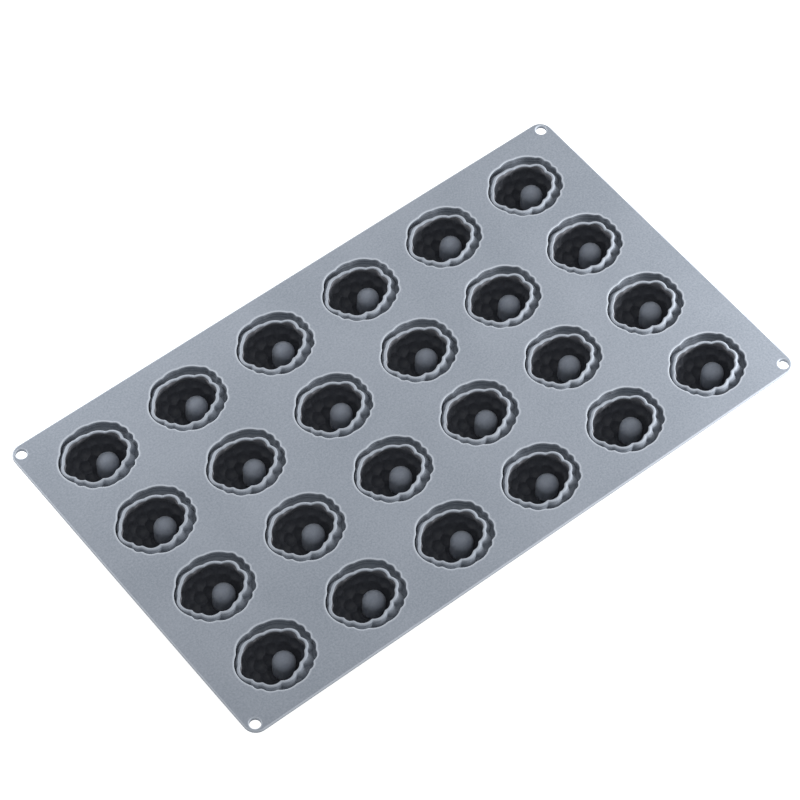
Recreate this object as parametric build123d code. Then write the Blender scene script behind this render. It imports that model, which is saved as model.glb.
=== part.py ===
"""Silicone baking mould: a flat sheet with 24 raspberry cups and four hanging holes.

Millimetres. The origin is on the table under the middle of the sheet, +X runs
along the long side, +Y along the short side and +Z points up out of the cups.
A depth is measured down from the top of the sheet.
"""
import os
from math import cos, hypot, radians, sin, sqrt, tan

from build123d import *

# Sheet
sheet_length = 300.0
sheet_width = 175.0
sheet_thickness = 2.0
sheet_corner_radius = 6.0
sheet_edge_rounding = 0.6

# Hanging holes, one in each corner
hanging_hole_diameter = 5.0
hanging_hole_inset = 4.5

# Cup grid. A margin runs from an edge of the sheet to the middle of the nearest cups.
columns = 6
rows = 4
end_margin = 30.75
side_margin = 24.95

# Berry: a raspberry lying on its side, measured over its drupelets.
# The bowl here is smooth, half-way down the drupelets' relief.
berry_length = 31.2
berry_width = 26.0
berry_depth = 17.9
berry_offset = -1.55
drupelet_relief = 1.2

# Mouth of the bowl: a lobed oval, one lobe for each drupelet of the top ring
mouth_length = 27.0
mouth_width = 21.6
mouth_offset = -1.8
mouth_lobe_height = 1.0
mouth_notch_angles = [3, 38, 75, 100, 134, 157, 191, 215, 249, 284, 309, 335]

# Lip around the mouth, standing free of the sheet
lip_thickness = 1.4
lip_lean_angle = 5.0

# Moat around the lip, with lobes of its own
moat_length = 35.4
moat_width = 31.0
moat_offset = -0.7
moat_lobe_height = 0.5
moat_notch_angles = [5, 20, 38, 68, 97, 140, 197, 214, 237, 266, 297, 313, 333, 352]
moat_depth = 4.0
moat_draft_angle = 2.0
moat_wall = 1.5
moat_floor_thickness = 1.5

# Bowl under the moat's floor
bowl_wall = 1.25
foot_thickness = 1.1

# Core peg that leaves the raspberry's hollow
core_diameter = 10.0
core_top_depth = 6.0
core_offset = 3.2
core_wall_clearance = 0.2

# Levels above the table
top_z = berry_depth + foot_thickness
underside_z = top_z - sheet_thickness
moat_floor_z = top_z - moat_depth
berry_z = foot_thickness + berry_width / 2

# Distances between neighbouring cups
column_pitch = (sheet_length - 2 * end_margin) / (columns - 1)
row_pitch = (sheet_width - 2 * side_margin) / (rows - 1)

# Both outlines as (length, width, lobe height, offset, notch angles)
mouth_outline = (mouth_length, mouth_width, mouth_lobe_height, mouth_offset, mouth_notch_angles)
moat_outline = (moat_length, moat_width, moat_lobe_height, moat_offset, moat_notch_angles)

# The bowl is a capsule lying along X: a bar with round ends
bowl_radius = berry_width / 2 - drupelet_relief / 2
bowl_outer_radius = berry_width / 2 + bowl_wall
bowl_half_span = (berry_length - berry_width) / 2
core_radius = core_diameter / 2

BASE = (Align.CENTER, Align.CENTER, Align.MIN)


def oval_point(length, width, centre_x, angle, z):
    """Point of an ellipse in the direction angle from its centre."""
    a, b = length / 2, width / 2
    c, s = cos(radians(angle)), sin(radians(angle))
    reach = a * b / hypot(b * c, a * s)
    return (centre_x + reach * c, reach * s, z)


def lobed_face(outline, grow, z):
    """Oval whose rim is one arc for each lobe, with a notch between neighbours."""
    length, width, lobe, offset, notches = outline
    length, width = length + 2 * grow, width + 2 * grow
    arcs = []
    for start, end in zip(notches, notches[1:] + [notches[0] + 360]):
        middle = (start + end) / 2
        crest = oval_point(length + 2 * lobe, width + 2 * lobe, offset, middle, z)
        first = oval_point(length, width, offset, start, z)
        last = oval_point(length, width, offset, end, z)
        arcs.append(ThreePointArc(first, crest, last))
    return make_face(Wire(arcs))


def lobed_column(outline, low_z, high_z, low_grow=0.0, high_grow=0.0):
    """Column with a lobed outline that is grown by an amount at each end."""
    low = lobed_face(outline, low_grow, low_z)
    high = lobed_face(outline, high_grow, high_z)
    return loft([low, high], ruled=True)


def capsule(radius):
    """Round-ended bar along X about the middle of the berry."""
    middle = Pos(berry_offset, 0, berry_z)
    ends = [middle * Pos(side * bowl_half_span, 0, 0) * Sphere(radius) for side in (-1, 1)]
    if bowl_half_span <= 0:
        return ends[0]
    return middle * Rot(0, 90, 0) * Cylinder(radius, 2 * bowl_half_span) + ends


def layer(low_z, high_z):
    """Layer wider than a cup between two levels, to trim with."""
    size = 2 * column_pitch
    return Pos(0, 0, low_z) * Box(size, size, high_z - low_z, align=BASE)


def core_seat_z():
    """Level where the core stands: the bowl's height at the core's outer side."""
    outer_side = core_offset + core_radius + core_wall_clearance
    run = outer_side - berry_offset - bowl_half_span
    return berry_z - sqrt(bowl_radius**2 - run**2)


def core():
    """Peg with a domed top."""
    seat_z = core_seat_z()
    shoulder_z = top_z - core_top_depth - core_radius
    post = Pos(core_offset, 0, seat_z) * Cylinder(core_radius, shoulder_z - seat_z, align=BASE)
    dome = Pos(core_offset, 0, shoulder_z) * Sphere(core_radius)
    return post + (dome & layer(shoulder_z, top_z))


def core_pad():
    """Stock under the core, left standing on the bowl's floor."""
    return Pos(core_offset, 0, 0) * Cylinder(core_radius, core_seat_z(), align=BASE)


def bowl():
    """Outside of the bowl, from its flat foot up to the moat's floor."""
    return capsule(bowl_outer_radius) & layer(0, moat_floor_z)


def cup():
    """Bowl, with the lobed lip that stands on its rim and narrows upwards."""
    lean = (top_z - moat_floor_z) * tan(radians(lip_lean_angle))
    root_grow = lip_thickness + lean
    lip = lobed_column(mouth_outline, moat_floor_z, top_z, root_grow, lip_thickness)
    berry = capsule(bowl_radius) & layer(0, berry_z)
    return bowl() + lip - (berry + lobed_column(mouth_outline, berry_z, top_z) - core_pad())


def moat_space():
    """Everything inside the moat's outer wall, down to the moat's floor."""
    draft = moat_depth * tan(radians(moat_draft_angle))
    return lobed_column(moat_outline, moat_floor_z, top_z, -draft)


def moat():
    """Channel that hangs under the sheet and carries the cup by its rim."""
    low_z = moat_floor_z - moat_floor_thickness
    stock = lobed_column(moat_outline, low_z, underside_z, moat_wall, moat_wall)
    return stock - moat_space() - bowl()


def sheet():
    """Rounded rectangle with a hole for every moat and a hanging hole in every corner."""
    outline = RectangleRounded(sheet_length, sheet_width, sheet_corner_radius)
    plate = extrude(Pos(0, 0, underside_z) * outline, sheet_thickness)
    hanging_hole = Pos(0, 0, underside_z) * Cylinder(
        hanging_hole_diameter / 2, sheet_thickness, align=BASE
    )
    across = sheet_length - 2 * hanging_hole_inset
    along = sheet_width - 2 * hanging_hole_inset
    plate -= [corner * hanging_hole for corner in GridLocations(across, along, 2, 2)]
    plate = fillet(plate.edges().filter_by(Plane.XY), sheet_edge_rounding)
    opening = moat_space()
    return plate - [place * opening for place in cup_places().values()]


def cup_places():
    """Middle of each cup, by name: rows from the front, columns from the left."""
    places = {}
    for row in range(rows):
        for column in range(columns):
            x = (column - (columns - 1) / 2) * column_pitch
            y = (row - (rows - 1) / 2) * row_pitch
            places[f"row{row + 1}_col{column + 1}"] = Pos(x, y, 0)
    return places


def write_parts():
    """One file for the sheet, each moat and each cup, and one for each row of cores."""
    os.makedirs("parts", exist_ok=True)
    export_step(sheet(), "parts/sheet.step", write_pcurves=False)
    one_moat, one_cup, one_core = moat(), cup(), core()
    places = cup_places()
    for name, place in places.items():
        export_step(place * one_moat, f"parts/moat_{name}.step", write_pcurves=False)
        export_step(place * one_cup, f"parts/cup_{name}.step", write_pcurves=False)
    for row in range(1, rows + 1):
        pegs = [place * one_core for name, place in places.items() if f"row{row}_" in name]
        export_step(Compound(children=pegs), f"parts/cores_row{row}.step")


write_parts()
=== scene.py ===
"""Silicone baking mould with 24 raspberry cups, dressed over its CAD frame.

Sizes are written in millimetres, as in the part, and a mesh turns them to metres.
A ring is one closed line around a cup, an array of points, and a surface is a stack
of rings from one end of its profile to the other.
"""

import bpy
import numpy as np
from mathutils import Matrix, Vector
from mathutils.geometry import delaunay_2d_cdt


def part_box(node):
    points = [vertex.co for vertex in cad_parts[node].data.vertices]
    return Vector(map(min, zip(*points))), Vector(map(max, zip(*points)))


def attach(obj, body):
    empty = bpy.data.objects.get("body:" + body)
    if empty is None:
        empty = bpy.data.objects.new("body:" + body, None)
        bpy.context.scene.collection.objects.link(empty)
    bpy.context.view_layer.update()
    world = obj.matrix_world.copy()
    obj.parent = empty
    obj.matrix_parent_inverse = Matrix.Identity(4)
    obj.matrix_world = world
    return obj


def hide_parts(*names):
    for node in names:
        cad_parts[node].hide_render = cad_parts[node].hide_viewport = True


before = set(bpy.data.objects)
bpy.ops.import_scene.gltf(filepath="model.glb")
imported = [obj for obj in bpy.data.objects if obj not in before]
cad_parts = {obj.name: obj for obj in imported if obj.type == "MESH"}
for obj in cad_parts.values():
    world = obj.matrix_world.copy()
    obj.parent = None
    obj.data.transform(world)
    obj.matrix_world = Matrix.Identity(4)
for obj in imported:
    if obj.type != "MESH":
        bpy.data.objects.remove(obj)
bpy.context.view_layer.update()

MM = 0.001


def node_box(node):
    """Lowest and highest corners of a CAD node, in millimetres."""
    low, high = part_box(node)
    return np.array(low) / MM, np.array(high) / MM


# Sheet and cup grid, read from the frame
SHEET_LOW, SHEET_HIGH = node_box("sheet")
TOP_Z = SHEET_HIGH[2]
UNDERSIDE_Z = SHEET_LOW[2]
COLUMNS = 6
ROWS = 4
FIRST_CUP = node_box("cup_row1_col1")[0]
COLUMN_PITCH = (node_box("cup_row1_col6")[0] - FIRST_CUP)[0] / (COLUMNS - 1)
ROW_PITCH = (node_box("cup_row4_col1")[0] - FIRST_CUP)[1] / (ROWS - 1)
SHEET_CORNER_RADIUS = 6.0
SHEET_EDGE_ROUNDING = 0.6
SHEET_LOW_ROUNDING = 1.1
HANGING_HOLE_RADIUS = 2.5
HANGING_HOLE_INSET = 4.5
HANGING_HOLE_ROUNDING = 0.45
HANGING_HOLE_LOW_ROUNDING = 0.2
HANGING_HOLES = 4

# Flat strip beside a rounding, where the painted highlight of the edge ends
FLAT_MARGIN = 0.02

# Depths below the top at which the painted light starts to fade and is gone: a painted
# highlight on the edges of the sheet and the lips, and in the bowl painted light near
# the mouth that gives way to the bowl's painted shade
SHEET_HIGHLIGHT_DEPTHS = (0.3, 0.7)
LIP_HIGHLIGHT_DEPTHS = (0.15, 0.55)
BOWL_LIGHT_TO_SHADE_DEPTHS = (1.0, 3.5)

# Berry and bowl
BERRY_LENGTH = 31.2
BERRY_WIDTH = 26.0
BERRY_OFFSET = -1.55
DRUPELET_RELIEF = 1.5
DRUPELET_RADIUS = 3.9
DRUPELET_CREASE = 0.06
TOP_DRUPELET_DEPTH = 2.3
BOWL_WALL = 1.25
FOOT_THICKNESS = 1.1
BERRY_Z = FOOT_THICKNESS + BERRY_WIDTH / 2
BOWL_HALF_SPAN = (BERRY_LENGTH - BERRY_WIDTH) / 2
BOWL_OUTER_RADIUS = BERRY_WIDTH / 2 + BOWL_WALL

# Rings of drupelets under the top one: the angle below level, how many there are, and
# the turn of the first
DRUPELET_RINGS = [(-10, 14, 10), (-33, 12, 0), (-56, 8, 20), (-78, 3, 40), (-90, 1, 0)]

# Mouth. A row of lobes is the angle of a notch, how far the notch stands out of the
# oval, and the height of the lobe that follows it.
MOUTH_LENGTH = 27.15
MOUTH_WIDTH = 21.75
MOUTH_OFFSET = -1.8
MOUTH_LOBES = [
    (2, 0.05, 1.50), (36, -0.10, 0.55), (72, -0.05, 0.35), (99, 0.45, 0.65),
    (130, 0.65, 0.05), (158, 0.35, 1.35), (195, -0.15, 0.75), (214, 0.00, 1.25),
    (250, 0.55, 1.10), (284, 0.35, 0.65), (309, -0.30, 0.70), (335, 0.45, 1.25),
]

# Lip: the rounding of its inner edge, the width and height of its oval shoulder, the
# depth of the mouth's straight wall and of the bowl's first ring, the clearance from
# the moat's wall, and how much of the painted highlight its edge has
LIP_THICKNESS = 1.45
LIP_ROUNDING = 0.35
LIP_SHOULDER = (0.9, 1.1)
LIP_MOUTH_DEPTH = 0.9
LIP_EDGE_DEPTH = 1.3
LIP_CLEARANCE = 0.25
LIP_HIGHLIGHT_SHARE = 0.45

# How far the foot of the lip stands out below its shoulder: the angle of a notch, the
# amount there, and what the lobe that follows it adds. The swell is the power of the
# drop with which it grows.
LIP_SWELL = 0.7
LIP_SLOPES = [
    (2, 0.2, 1.7), (36, 0.2, 1.5), (72, 0.2, 1.3), (99, 0.6, 1.5), (130, 1.2, 1.3),
    (158, 1.0, 1.2), (195, 0.4, 1.9), (214, 0.2, 1.5), (250, 0.2, 1.3), (284, 0.2, 2.4),
    (309, 0.2, 2.6), (335, 0.2, 2.2),
]

# Moat
MOAT_LENGTH = 35.4
MOAT_WIDTH = 31.0
MOAT_OFFSET = -0.7
MOAT_LOBES = [
    (4, -0.65, 0.90), (19, 0.00, 0.80), (34, 0.45, 0.40), (70, 0.15, 0.45),
    (98, -0.30, 1.00), (141, -0.80, 0.90), (201, -0.55, 0.80), (214, -0.60, 0.80),
    (237, 0.15, 0.65), (267, 0.60, 0.60), (298, 0.10, 0.75), (313, -0.30, 1.00),
    (332, 0.00, 0.90), (351, -0.75, 1.00),
]
MOAT_FLOOR_Z = TOP_Z - 4.0
MOAT_DRAFT = 0.035
MOAT_WALL = 1.5
MOAT_FLOOR_THICKNESS = 1.5
MOAT_RIM_ROUNDING = 0.35
# Width over which the painted highlight along the moat's rim fades out on the flat top
MOAT_RIM_HIGHLIGHT_FADE = 0.7
MOAT_FOOT_ROUNDING = 0.5
MOAT_OUTER_ROUNDING = 0.6

# Bands of faces on the wall of a moat's opening in the sheet
OPENING_WALL_BANDS = 3

# Core: a post with an oval dome
CORE_RADIUS = 5.0
CORE_DOME_HEIGHT = 4.4
CORE_MIDDLE = np.array([3.9, -0.25, 0.0])
CORE_FLOOR_Z = FOOT_THICKNESS + 0.3
CORE_TOP_Z = node_box("cores_row1")[1][2]

# Turn of each point around one cup, in radians
TURNS = np.linspace(0, 2 * np.pi, 216, endpoint=False)

# Sizes of the silicone's fine speckle and of the broad clouds in it
SPECKLE_SIZE = 0.9
CLOUD_SIZE = 30.0


# Rings

def oval(length, width):
    """Reach of an ellipse at each turn: a b over the root of (b cos)^2 + (a sin)^2."""
    a, b = length / 2, width / 2
    return a * b / np.hypot(b * np.cos(TURNS), a * np.sin(TURNS))


def soften(values):
    """Average of each point around a ring with its neighbours, which rounds the notches."""
    return (np.roll(values, 1) + 2 * values + np.roll(values, -1)) / 4


def lobed(lobes):
    """How far a row of lobes stands out at each turn.

    From one notch to the next it is the straight line between them plus the lobe's
    height times 4 t (1 - t).
    """
    angles, shift, height = np.array(lobes + [lobes[0]]).T
    notches = np.radians(angles)
    notches[-1] += 2 * np.pi
    turn = (TURNS - notches[0]) % (2 * np.pi) + notches[0]
    place = np.interp(turn, notches, np.arange(len(notches)))
    wave = 4 * (place % 1) * (1 - place % 1)
    return soften(np.interp(turn, notches, shift) + height[place.astype(int)] * wave)


MOUTH_RELIEF = lobed(MOUTH_LOBES)
LIP_SLOPE = lobed(LIP_SLOPES)
MOAT_RELIEF = lobed(MOAT_LOBES)


def ring(reach, centre_x, z):
    """Closed line at a reach from a centre on the X axis, at a height."""
    z = np.broadcast_to(z, TURNS.shape)
    return np.stack([centre_x + reach * np.cos(TURNS), reach * np.sin(TURNS), z], axis=-1)


def mouth_reach(grow):
    """Reach of the mouth from its own middle, grown outwards by an amount."""
    return oval(MOUTH_LENGTH + 2 * grow, MOUTH_WIDTH + 2 * grow) + MOUTH_RELIEF


def mouth_ring(grow, z):
    """Outline of the mouth, grown outwards by an amount."""
    return ring(mouth_reach(grow), MOUTH_OFFSET, z)


def moat_ring(grow, z):
    """Outer outline of the moat, grown outwards by an amount."""
    reach = oval(MOAT_LENGTH + 2 * grow, MOAT_WIDTH + 2 * grow)
    return ring(reach + MOAT_RELIEF, MOAT_OFFSET, z)


def lip_ring(drop):
    """Outside of the lip, from its shoulder (drop 0) down to the moat's floor (1).

    The reach is the mouth's plus the lip's thickness, plus its slope times the drop to
    the power of the swell, so each lobe bulges out below the edge. The moat's wall
    holds it back, at a small clearance.
    """
    shoulder_z = TOP_Z - LIP_SHOULDER[1]
    z = shoulder_z + (MOAT_FLOOR_Z - shoulder_z) * drop
    reach = mouth_reach(LIP_THICKNESS) + LIP_SLOPE * drop**LIP_SWELL
    wall = moat_ring(-MOAT_DRAFT * (TOP_Z - z) - LIP_CLEARANCE, z)
    wall[:, 0] -= MOUTH_OFFSET
    turns, room = np.arctan2(wall[:, 1], wall[:, 0]), np.hypot(wall[:, 0], wall[:, 1])
    room = np.interp(TURNS, turns, room, period=2 * np.pi)
    return ring(np.minimum(reach, room), MOUTH_OFFSET, z)


def capsule_reach(radius, direction):
    """Distance from the berry's middle to a round-ended bar along X, in each direction.

    The bar's side is met at radius over the direction's length across X. Past the
    half span, the round end is met instead, a ball whose centre is half a span away.
    """
    along = np.abs(direction[..., 0])
    across = np.hypot(direction[..., 1], direction[..., 2])
    side = radius / np.maximum(across, 1e-6)
    end = along * BOWL_HALF_SPAN + np.sqrt(
        radius**2 - (BOWL_HALF_SPAN * across) ** 2
    )
    return np.where(side * along <= BOWL_HALF_SPAN, side, end)


def bowl_outside_ring(z):
    """Section of the bowl's outer capsule at a height."""
    across = np.sqrt(BOWL_OUTER_RADIUS**2 - (z - BERRY_Z) ** 2)
    flat = np.stack([np.cos(TURNS), np.sin(TURNS), np.zeros_like(TURNS)], axis=-1)
    along = np.abs(flat[:, 0])
    side = across / np.maximum(np.abs(flat[:, 1]), 1e-6)
    end = along * BOWL_HALF_SPAN + np.sqrt(across**2 - (BOWL_HALF_SPAN * flat[:, 1]) ** 2)
    reach = np.where(side * along <= BOWL_HALF_SPAN, side, end)
    return ring(reach, BERRY_OFFSET, z)


def quarter(centre, radius, start, end, count=5):
    """Points of an arc of the profile, as (grow, z), from one angle to another.

    The radius is one number, or one for each direction of an oval arc.
    """
    across, up = np.broadcast_to(radius, 2)
    angles = np.radians(np.linspace(start, end, count))
    return [(centre[0] + across * np.cos(a), centre[1] + up * np.sin(a)) for a in angles]


# Meshes

def mesh_object(name, points, faces, edge=None):
    """Smooth object at the origin from points in millimetres and a list of faces.

    The edge attribute is 1 on the moulded edges, where a painted highlight lies; in the
    bowl it paints light near the mouth.
    """
    mesh = bpy.data.meshes.new(name)
    mesh.from_pydata((points * MM).tolist(), [], faces)
    if edge is not None:
        mesh.attributes.new("edge", "FLOAT", "POINT").data.foreach_set("value", edge)
    mesh.polygons.foreach_set("use_smooth", np.full(len(mesh.polygons), True))
    mesh.update()
    piece = bpy.data.objects.new(name, mesh)
    bpy.context.scene.collection.objects.link(piece)
    return piece


def painted_light_by_depth(points, full, gone):
    """Painted light: 1 down to a depth below the top, fading to 0 at a second depth."""
    return np.clip((points[..., 2] - TOP_Z + gone) / (gone - full), 0, 1)


def band_faces(rows, columns, first=0, flip=False):
    """Quads between rows of points that close on themselves."""
    row, column = np.meshgrid(np.arange(rows - 1), np.arange(columns), indexing="ij")
    after = (column + 1) % columns
    quads = np.stack(
        [row * columns + column, row * columns + after,
         (row + 1) * columns + after, (row + 1) * columns + column], axis=-1
    ).reshape(-1, 4) + first
    return quads[:, ::-1] if flip else quads


def closed_shell(surface, first_pole, last_pole):
    """Points and faces of a stack of rings that ends in a pole at both ends."""
    rows, columns = surface.shape[:2]
    points = np.concatenate([surface.reshape(-1, 3), [first_pole, last_pole]])
    around = np.arange(columns)
    after = (around + 1) % columns
    last = (rows - 1) * columns
    start = np.full(columns, rows * columns)
    faces = band_faces(rows, columns).tolist()
    faces += np.stack([after, around, start], axis=-1).tolist()
    faces += np.stack([last + around, last + after, start + 1], axis=-1).tolist()
    return points, faces


def closed_loop(surface):
    """Points and faces of a stack of rings whose last ring meets the first."""
    rows, columns = surface.shape[:2]
    closed = np.concatenate([surface, surface[:1]])
    faces = band_faces(rows + 1, columns) % (rows * columns)
    return closed[:-1].reshape(-1, 3), faces.tolist()


# Raspberry relief

def drupelet_centres():
    """Middles of the drupelet balls, seen from the berry's middle.

    The top ring has one under each lobe of the mouth, which it touches from inside.
    The rings below are evenly spaced on the capsule, each turned by about half a
    step, down to one ball at the bottom. All of them are a little out of place, as
    on a real berry.
    """
    uneven = np.random.default_rng(5)
    angles = [lobe[0] for lobe in MOUTH_LOBES] + [MOUTH_LOBES[0][0] + 360]
    notches = np.radians(angles)
    turn = (notches[:-1] + notches[1:]) / 2
    reach = np.interp(turn, TURNS, mouth_reach(0), period=2 * np.pi) - DRUPELET_RADIUS
    level = TOP_Z - TOP_DRUPELET_DEPTH - BERRY_Z + uneven.uniform(-0.3, 0.3, len(turn))
    shift = MOUTH_OFFSET - BERRY_OFFSET
    rings = [np.stack([shift + reach * np.cos(turn), reach * np.sin(turn), level], axis=-1)]
    for height, count, start in DRUPELET_RINGS:
        turn = start + np.arange(count) * 360 / count + uneven.uniform(-3, 3, count)
        turn = np.radians(turn)
        height = np.radians(height + uneven.uniform(-2.5, 2.5, count))
        reach = BERRY_WIDTH / 2 - DRUPELET_RADIUS
        level_reach = (reach + BOWL_HALF_SPAN * np.abs(np.cos(turn))) * np.cos(height)
        rings.append(np.stack([
            level_reach * np.cos(turn), reach * np.cos(height) * np.sin(turn),
            reach * np.sin(height),
        ], axis=-1))
    return np.concatenate(rings)


def berry_surface(rows=70):
    """Inside of the bowl, from the bottom up to just under the lip.

    Along each direction from the berry's middle the wall lies where the last
    drupelet ball, or the plain capsule between them, is left behind. The largest of
    those distances is taken, and a soft maximum rounds the creases. The directions
    fan out from straight down to the edge of the mouth.
    """
    middle = np.array([BERRY_OFFSET, 0, BERRY_Z])
    edge = mouth_ring(0, TOP_Z - LIP_EDGE_DEPTH) - middle
    turns = np.arctan2(edge[:, 1], edge[:, 0])
    top = np.arctan2(edge[:, 2], np.hypot(edge[:, 0], edge[:, 1]))
    bottom = np.radians(-88.5)
    heights = bottom + np.linspace(0, 1, rows)[:, None] * (top - bottom)
    direction = np.stack([
        np.cos(heights) * np.cos(turns), np.cos(heights) * np.sin(turns), np.sin(heights)
    ], axis=-1)
    plain = capsule_reach(BERRY_WIDTH / 2 - DRUPELET_RELIEF, direction)
    centres = drupelet_centres()
    towards = direction @ centres.T
    room = towards**2 - (centres**2).sum(axis=1) + DRUPELET_RADIUS**2
    ball = np.where(room > 0, towards + np.sqrt(np.maximum(room, 0)), 0)
    reach = np.concatenate([plain[..., None], ball], axis=-1)
    far = reach.max(axis=-1, keepdims=True)
    excess = np.exp((reach - far) / DRUPELET_CREASE).sum(axis=-1)
    reach = far[..., 0] + DRUPELET_CREASE * np.log(excess)
    return middle + reach[..., None] * direction


# Pieces

def cup_surface():
    """One cup as a stack of rings: up the outside, over the lip and down into the berry."""
    foot_angle = np.degrees(np.arcsin(BERRY_Z / BOWL_OUTER_RADIUS))
    rim_angle = np.degrees(np.arcsin((MOAT_FLOOR_Z - BERRY_Z) / BOWL_OUTER_RADIUS))
    angles = np.radians(np.linspace(-foot_angle, rim_angle, 26))
    outside = [bowl_outside_ring(BERRY_Z + BOWL_OUTER_RADIUS * np.sin(a)) for a in angles]
    wall = [lip_ring(drop) for drop in np.linspace(1, 0.08, 9)]
    across, up = LIP_SHOULDER
    edge = quarter((LIP_THICKNESS - across, TOP_Z - up), LIP_SHOULDER, 5, 88, 8)
    edge += quarter((LIP_ROUNDING, TOP_Z - LIP_ROUNDING), LIP_ROUNDING, 90, 180)
    edge += [(0, TOP_Z - LIP_MOUTH_DEPTH)]
    lip = [mouth_ring(grow, z) for grow, z in edge]
    return np.concatenate([outside, wall, lip, berry_surface()[::-1]])


def moat_surface():
    """One moat as a stack of rings around its closed section.

    Down the outer wall's inside, over the floor to the bowl, down the bowl, and back
    up the outside.
    """
    wall = [
        (-MOAT_DRAFT * (TOP_Z - z), z)
        for z in (UNDERSIDE_Z, UNDERSIDE_Z - 0.6, MOAT_FLOOR_Z + 0.7)
    ]
    foot, outside = MOAT_FOOT_ROUNDING, MOAT_OUTER_ROUNDING
    foot_grow = -MOAT_DRAFT * (TOP_Z - MOAT_FLOOR_Z)
    wall += quarter((foot_grow - foot, MOAT_FLOOR_Z + foot), foot, -15, -90, 4)
    low_z = MOAT_FLOOR_Z - MOAT_FLOOR_THICKNESS
    inside = [bowl_outside_ring(z) for z in np.linspace(MOAT_FLOOR_Z, low_z, 4)]
    outer = quarter((MOAT_WALL - outside, low_z + outside), outside, -90, 0, 4)
    outer += [(MOAT_WALL, UNDERSIDE_Z)]
    rings = [moat_ring(*p) for p in wall] + inside + [moat_ring(*p) for p in outer]
    return np.stack(rings)


def cup_places():
    """Name and middle of each cup: rows from the front, columns from the left."""
    return {
        f"row{row + 1}_col{column + 1}": np.array([
            (column - (COLUMNS - 1) / 2) * COLUMN_PITCH,
            (row - (ROWS - 1) / 2) * ROW_PITCH, 0.0,
        ])
        for row in range(ROWS) for column in range(COLUMNS)
    }


def make_cups(materials):
    """Cup pieces, with the berry's inside in a darker silicone, painted shade.

    A band of faces lies between two rings. The last two bands close the poles: the
    foot's has the matte silicone, and the floor's has the berry's painted shade.
    """
    surface, berry = cup_surface(), berry_surface()
    foot_pole = np.array([BERRY_OFFSET, 0, 0])
    floor_pole = np.array([BERRY_OFFSET, 0, berry[0, :, 2].mean()])
    points, faces = closed_shell(surface, foot_pole, floor_pole)
    band = np.arange(len(faces)) // len(TURNS)
    bowl_painted_shade = (band >= len(surface) - len(berry) - 1) & (band != len(surface) - 1)
    # Painted highlight on the lip's crest at part strength; in the bowl, painted light near
    # the mouth that fades into the bowl's painted shade below
    painted_light_amount = LIP_HIGHLIGHT_SHARE * painted_light_by_depth(points, *LIP_HIGHLIGHT_DEPTHS)
    inside = slice(-berry[..., 0].size - 2, None)
    painted_light_amount[inside] = painted_light_by_depth(points[inside], *BOWL_LIGHT_TO_SHADE_DEPTHS)
    for name, place in cup_places().items():
        cup = mesh_object(f"cup_skin_{name}", points + place, faces, painted_light_amount)
        cup.data.materials.append(materials["matte"])
        cup.data.materials.append(materials["bowl_painted_shade"])
        cup.data.polygons.foreach_set("material_index", bowl_painted_shade.astype(np.int32))
        dress(cup, f"cup_{name}")


def make_moats(materials):
    """Moat pieces."""
    points, faces = closed_loop(moat_surface())
    for name, place in cup_places().items():
        moat = mesh_object(f"moat_skin_{name}", points + place, faces)
        moat.data.materials.append(materials["moat"])
        dress(moat, f"moat_{name}")


def make_cores(materials):
    """Core pieces, a row at a time: a post from the bowl's floor, with an oval dome."""
    dome_z = CORE_TOP_Z - CORE_DOME_HEIGHT
    profile = [(CORE_RADIUS, z) for z in np.linspace(CORE_FLOOR_Z, dome_z, 6)[:-1]]
    profile += quarter((0, dome_z), (CORE_RADIUS, CORE_DOME_HEIGHT), 0, 87, 20)
    turns = TURNS[::3]
    surface = np.stack([
        CORE_MIDDLE
        + np.stack([r * np.cos(turns), r * np.sin(turns), np.full_like(turns, z)], axis=-1)
        for r, z in profile
    ])
    poles = [CORE_MIDDLE + (0, 0, z) for z in (CORE_FLOOR_Z, CORE_TOP_Z)]
    points, faces = closed_shell(surface, *poles)
    for row in range(1, ROWS + 1):
        places = [p for name, p in cup_places().items() if f"row{row}_" in name]
        all_points = np.concatenate([points + place for place in places])
        all_faces = [
            [v + k * len(points) for v in face]
            for k in range(len(places)) for face in faces
        ]
        cores = mesh_object(f"core_skins_row{row}", all_points, all_faces)
        cores.data.materials.append(materials["peg"])
        dress(cores, f"cores_row{row}")


def rounded_rectangle(inset, z, steps=12):
    """Outline of the sheet, moved inwards by an amount, anticlockwise."""
    half = (SHEET_HIGH - SHEET_LOW)[:2] / 2 - inset
    radius = SHEET_CORNER_RADIUS - inset
    corners = []
    for k, (sx, sy) in enumerate(((1, 1), (-1, 1), (-1, -1), (1, -1))):
        angle = np.radians(np.linspace(90 * k, 90 * (k + 1), steps))
        x = sx * (half[0] - radius) + radius * np.cos(angle)
        y = sy * (half[1] - radius) + radius * np.sin(angle)
        corners.append(np.stack([x, y, np.full(steps, float(z))], axis=-1))
    return np.concatenate(corners)


def hanging_hole(place, grow, z):
    """Outline of a hanging hole, grown outwards by an amount."""
    angle = TURNS[::4]
    reach = HANGING_HOLE_RADIUS + grow
    level = np.full_like(angle, z)
    flat = np.stack([reach * np.cos(angle), reach * np.sin(angle), level], axis=-1)
    return flat + place


def edge_stack(outline, rounding, low_rounding):
    """Rings over an edge of the sheet, from its top face to its underside.

    The profile is a quarter circle at the top, a straight wall and a quarter circle
    of its own radius at the bottom. outline(amount, z) gives the ring, where the
    amount points into the sheet.
    """
    top = quarter((rounding, TOP_Z - rounding), rounding, 90, 180)
    bottom = quarter((low_rounding, UNDERSIDE_Z + low_rounding), low_rounding, 180, 270)
    profile = [(rounding + FLAT_MARGIN, TOP_Z), *top, *bottom]
    return np.stack([outline(amount, z) for amount, z in profile])


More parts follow.
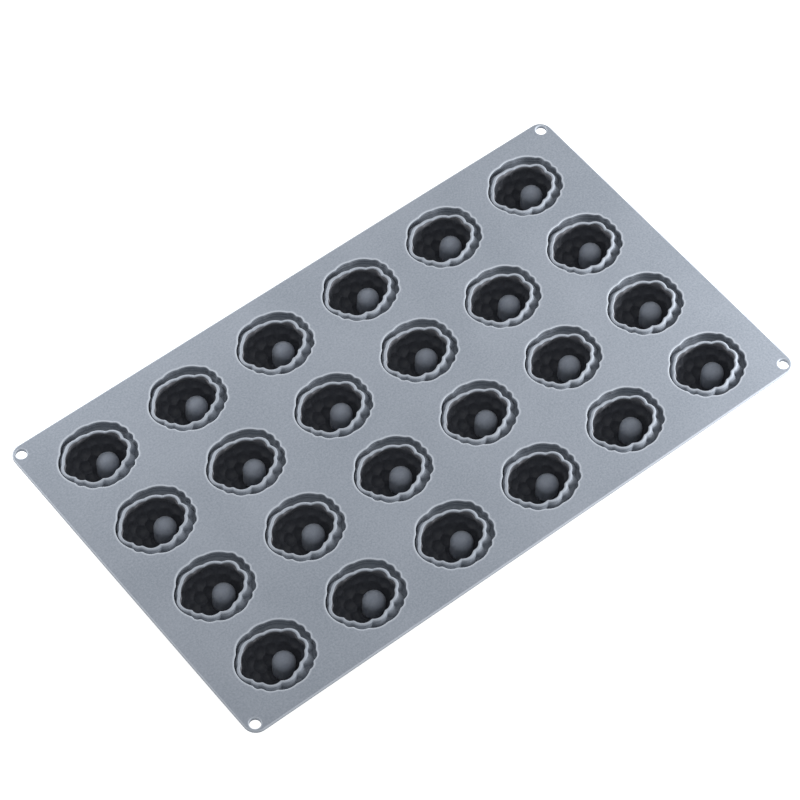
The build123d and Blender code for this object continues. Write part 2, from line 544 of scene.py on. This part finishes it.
def sheet_edges():
    """Every edge of the sheet as a stack of rings.

    The outside comes first, then the hanging holes, then the moats' openings.
    """
    stacks = [edge_stack(rounded_rectangle, SHEET_EDGE_ROUNDING, SHEET_LOW_ROUNDING)]
    half = (SHEET_HIGH - SHEET_LOW)[:2] / 2 - HANGING_HOLE_INSET
    for side_x in (-1, 1):
        for side_y in (-1, 1):
            place = np.array([side_x * half[0], side_y * half[1], 0])
            stacks.append(edge_stack(
                lambda grow, z: hanging_hole(place, grow, z),
                HANGING_HOLE_ROUNDING, HANGING_HOLE_LOW_ROUNDING,
            ))
    rounding = MOAT_RIM_ROUNDING
    rim = quarter((rounding, TOP_Z - rounding), rounding, 90, 180)
    wall = [(-MOAT_DRAFT * (TOP_Z - z), z) for z in (TOP_Z - 1, UNDERSIDE_Z)]
    flat = [(rounding + margin, TOP_Z) for margin in (MOAT_RIM_HIGHLIGHT_FADE, FLAT_MARGIN)]
    profile = [*flat, *rim, *wall]
    opening = np.stack([moat_ring(grow, z) for grow, z in profile])
    return stacks + [opening + place for place in cup_places().values()]


def make_sheet(materials):
    """Sheet piece: both flat faces filled between the edges, and a band over each edge.

    The wall of a moat's opening, which is the last bands of its stack, has the moat's
    darker silicone, a painted shade. The flat faces are the only triangles, and only they
    are shaded flat.
    """
    points, edge, faces, in_moat, tops, bottoms = [], [], [], [], [], []
    first = 0
    for k, stack in enumerate(sheet_edges()):
        rows, columns = stack.shape[:2]
        band = np.arange((rows - 1) * columns) // columns
        is_wall = (k > HANGING_HOLES) & (band >= rows - 1 - OPENING_WALL_BANDS)
        in_moat += is_wall.tolist()
        # Painted highlight along the sheet's top edges, faded out at the first ring on the
        # flat
        painted_light_amount = painted_light_by_depth(stack, *SHEET_HIGHLIGHT_DEPTHS)
        painted_light_amount[0] = 0
        points.append(stack.reshape(-1, 3))
        edge.append(painted_light_amount.ravel())
        faces += band_faces(rows, columns, first, flip=k == 0).tolist()
        tops.append(first + np.arange(columns))
        bottoms.append(first + (rows - 1) * columns + np.arange(columns))
        first += rows * columns
    points = np.concatenate(points)
    for loops, upwards in ((tops, True), (bottoms, False)):
        faces += flat_faces(points, loops, upwards)
    sheet = mesh_object("sheet_skin", points, faces, np.concatenate(edge))
    sheet.data.materials.append(materials["matte"])
    sheet.data.materials.append(materials["moat"])
    in_moat += [False] * (len(faces) - len(in_moat))
    sheet.data.polygons.foreach_set("material_index", np.array(in_moat, dtype=np.int32))
    flat = np.array([len(p.vertices) == 3 for p in sheet.data.polygons])
    sheet.data.polygons.foreach_set("use_smooth", ~flat)
    dress(sheet, "sheet")


def flat_faces(points, loops, upwards):
    """Triangles between an outer loop and the holes in it.

    A constrained Delaunay triangulation fills the whole outer loop. A triangle is left
    out if all its corners lie on one hole and run around it the way the hole does,
    because the ones in a notch outside the hole run the other way.
    """
    order = np.concatenate(loops)
    hole_of = np.concatenate([np.full(len(loop), k) for k, loop in enumerate(loops)])
    start = np.cumsum([0] + [len(loop) for loop in loops])
    edges = [
        (int(start[k] + i), int(start[k] + (i + 1) % len(loop)))
        for k, loop in enumerate(loops) for i in range(len(loop))
    ]
    flat = [Vector(p[:2]) for p in points[order]]
    made = delaunay_2d_cdt(flat, edges, [], 1, 1e-6, True)
    source = np.array([ids[0] for ids in made[3]])
    triangles = source[np.array(made[2])]
    corner = hole_of[triangles]
    same_hole = (corner[:, 0] > 0) & (corner == corner[:, :1]).all(axis=1)
    i, j, k = triangles.T
    a, b, c = (points[order[ids], :2] for ids in (i, j, k))
    turn = (b - a)[:, 0] * (c - a)[:, 1] - (b - a)[:, 1] * (c - a)[:, 0]
    in_hole = same_hole & (((j - i) * (k - j) * (k - i) > 0) == (turn > 0))
    backwards = (turn > 0) != upwards
    triangles[backwards] = triangles[backwards][:, ::-1]
    return order[triangles[~in_hole]].tolist()


def dress(piece, *nodes):
    """Piece that stands for its CAD nodes on the only body."""
    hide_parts(*nodes)
    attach(piece, "root")


# Materials

def linear(hex_colour):
    """Linear colour of an sRGB hex value."""
    value = np.array([int(hex_colour[i:i + 2], 16) for i in (0, 2, 4)]) / 255
    curve = np.where(value <= 0.04045, value / 12.92, ((value + 0.055) / 1.055) ** 2.4)
    return (*curve.tolist(), 1.0)


def add_node(tree, kind, inputs=None, **settings):
    """Shader node with its settings, and its sockets set to a value or linked."""
    node = tree.nodes.new(kind)
    for name, value in settings.items():
        setattr(node, name, value)
    for name, value in (inputs or {}).items():
        socket = node.inputs[name]
        if isinstance(value, bpy.types.NodeSocket):
            tree.links.new(value, socket)
        else:
            socket.default_value = value
    return node


def moulded_silicone(name, colour, pale_colour, painted_light_colour, roughness, grain_depth_mm,
                     subsurface=0.0):
    """Platinum-cured silicone rubber, as it leaves a steel mould.

    The pigment is even, with a fine pale speckle from the blasted steel. The edge
    attribute mixes in a painted light colour near the top: a painted highlight on the
    moulded edges, and in the bowl painted light near the mouth that fades to painted
    shade deeper down. The same grain lifts the surface by a few hundredths of a
    millimetre, which spreads the highlights. Light that goes in below the surface
    softens the shading of a thick piece.
    """
    material = bpy.data.materials.new(name)
    material.use_nodes = True
    tree = material.node_tree
    tree.nodes.clear()
    place = add_node(tree, "ShaderNodeTexCoord").outputs["Object"]
    grain = add_node(tree, "ShaderNodeTexNoise", {
        "Vector": place, "Scale": 1 / (SPECKLE_SIZE * MM), "Detail": 3.0,
        "Roughness": 0.7,
    })
    cloud = add_node(tree, "ShaderNodeTexNoise", {
        "Vector": place, "Scale": 1 / (CLOUD_SIZE * MM), "Detail": 2.0,
        "Roughness": 0.5,
    })
    mixed = add_node(tree, "ShaderNodeMath", {
        0: cloud.outputs["Fac"], 1: 0.3, 2: grain.outputs["Fac"],
    }, operation="MULTIPLY_ADD")
    spread = add_node(tree, "ShaderNodeMapRange", {
        "Value": mixed.outputs[0], "From Min": 0.45, "From Max": 0.85,
    })
    body = add_node(tree, "ShaderNodeMix", {
        0: spread.outputs[0], 6: linear(colour), 7: linear(pale_colour),
    }, data_type="RGBA")
    # The edge attribute mixes in the painted light colour: a painted highlight on the
    # edges, and painted light near the bowl's mouth
    edge = add_node(tree, "ShaderNodeAttribute", attribute_name="edge")
    shown = add_node(tree, "ShaderNodeMix", {
        0: edge.outputs["Fac"], 6: body.outputs[2], 7: linear(painted_light_colour),
    }, data_type="RGBA")
    bump = add_node(tree, "ShaderNodeBump", {
        "Height": grain.outputs["Fac"], "Distance": grain_depth_mm * MM, "Strength": 0.7,
    })
    shader = add_node(tree, "ShaderNodeBsdfPrincipled", {
        "Base Color": shown.outputs[2], "Roughness": roughness, "IOR": 1.41,
        "Specular IOR Level": 0.3, "Normal": bump.outputs[0],
        "Sheen Weight": 0.05, "Sheen Roughness": 0.5, "Subsurface Weight": subsurface,
        "Subsurface Radius": (1.0, 1.0, 1.0), "Subsurface Scale": 4 * MM,
    })
    add_node(tree, "ShaderNodeOutputMaterial", {"Surface": shader.outputs[0]})
    return material


def make_materials():
    """The same silicone with four roughnesses; the moat's and bowl's copies are darker,
    painted shade, and the core's is paler, painted light.
    """
    return {
        # The silicone's own colour and speckle; the last colour is a painted highlight on
        # the edges
        "matte": moulded_silicone(
            "silicone_blasted_matte", "8A929D", "A0A7B2", "BCC3CD", 0.8, 0.06),
        # Darker copy in the moat: painted shade
        "moat": moulded_silicone(
            "silicone_moat_painted_shade", "747B85", "838A94", "838A94", 0.55, 0.04),
        # Darker copy in the bowl: painted shade; its last colour paints light near the
        # mouth
        "bowl_painted_shade": moulded_silicone(
            "silicone_bowl_painted_shade", "45484F", "4F5259", "85858A", 0.4, 0.03),
        # Paler copy on the core deep in the cup: painted light
        "peg": moulded_silicone(
            "silicone_core_painted_light", "9299A5", "A0A7B3", "A0A7B3", 0.6, 0.03, 1.0),
    }


# Stage, light and camera

def make_floor():
    """Pale floor that keeps the object's shadow, and is clear to a camera below it."""
    half, gap = 4000.0, 0.2
    corners = np.array([
        (-half, -half, -gap), (half, -half, -gap), (half, half, -gap), (-half, half, -gap),
    ])
    floor = mesh_object("floor", corners, [[0, 1, 2, 3]])
    material = bpy.data.materials.new("white_paper")
    material.use_nodes = True
    tree = material.node_tree
    tree.nodes.clear()
    paper = add_node(tree, "ShaderNodeBsdfDiffuse", {"Color": linear("E6E6E6")})
    glow = add_node(tree, "ShaderNodeEmission", {
        "Color": linear("FFFFFF"), "Strength": 0.75,
    })
    rays = add_node(tree, "ShaderNodeLightPath")
    shown = add_node(tree, "ShaderNodeAddShader", {0: paper.outputs[0], 1: glow.outputs[0]})
    mixed = add_node(tree, "ShaderNodeMixShader", {
        0: rays.outputs["Is Camera Ray"], 1: paper.outputs[0], 2: shown.outputs[0],
    })
    side = add_node(tree, "ShaderNodeNewGeometry")
    from_below = add_node(tree, "ShaderNodeMath", {
        0: rays.outputs["Is Camera Ray"], 1: side.outputs["Backfacing"],
    }, operation="MULTIPLY")
    clear = add_node(tree, "ShaderNodeBsdfTransparent")
    seen = add_node(tree, "ShaderNodeMixShader", {
        0: from_below.outputs[0], 1: mixed.outputs[0], 2: clear.outputs[0],
    })
    add_node(tree, "ShaderNodeOutputMaterial", {"Surface": seen.outputs[0]})
    floor.data.materials.append(material)


def make_world(light):
    """White behind the object for the camera, and an even soft light for the rest."""
    world = bpy.data.worlds.new("studio")
    bpy.context.scene.world = world
    world.use_nodes = True
    tree = world.node_tree
    tree.nodes.clear()
    rays = add_node(tree, "ShaderNodeLightPath")
    even, white = (
        add_node(tree, "ShaderNodeBackground", {
            "Color": linear("FFFFFF"), "Strength": strength,
        })
        for strength in (light, 1.0)
    )
    mixed = add_node(tree, "ShaderNodeMixShader", {
        0: rays.outputs["Is Camera Ray"], 1: even.outputs[0], 2: white.outputs[0],
    })
    add_node(tree, "ShaderNodeOutputWorld", {"Surface": mixed.outputs[0]})


def aim(thing, place, target):
    """Put a light or camera at a place, looking at a target, both in millimetres."""
    place, target = Vector(place) * MM, Vector(target) * MM
    thing.location = place
    thing.rotation_euler = (target - place).to_track_quat("-Z", "Y").to_euler()


def make_softbox(name, place, width, height, power):
    """Rectangular area light that faces the middle of the mould."""
    light = bpy.data.lights.new(name, "AREA")
    light.shape = "RECTANGLE"
    light.size, light.size_y = width * MM, height * MM
    light.energy = power
    lamp = bpy.data.objects.new(name, light)
    lamp.visible_camera = False
    bpy.context.scene.collection.objects.link(lamp)
    aim(lamp, place, (0, 0, TOP_Z))


def make_camera():
    """Camera of the photograph: where it looks, from how far, and how it is turned."""
    heading, elevation, roll = (np.radians(a) for a in (40.252, 55.849, 2.047))
    distance = 1434.4
    target = Vector((0.33, 5.21, TOP_Z))
    view = Vector((
        np.sin(heading) * np.cos(elevation), np.cos(heading) * np.cos(elevation),
        -np.sin(elevation),
    ))
    right = Vector((np.cos(heading), -np.sin(heading), 0))
    turn = Matrix.Rotation(roll, 3, -view)
    right = turn @ right
    up = right.cross(view)
    data = bpy.data.cameras.new("camera")
    data.lens = 148.4
    data.sensor_width = 36.0
    data.clip_end = 20.0
    camera = bpy.data.objects.new("camera", data)
    bpy.context.scene.collection.objects.link(camera)
    axes = Matrix((right, up, -view)).transposed().to_4x4()
    camera.matrix_world = Matrix.Translation((target - view * distance) * MM) @ axes
    bpy.context.scene.camera = camera


def main():
    """Dress the part, and set the stage."""
    materials = make_materials()
    make_sheet(materials)
    make_moats(materials)
    make_cups(materials)
    make_cores(materials)
    make_floor()
    make_world(0.6)
    make_softbox("low_right_softbox", (400, -196, 120), 220, 120, 2.35)
    make_softbox("back_left_softbox", (-156, 302, 120), 160, 100, 0.68)
    make_camera()
    bpy.context.scene.view_settings.view_transform = "Standard"


main()
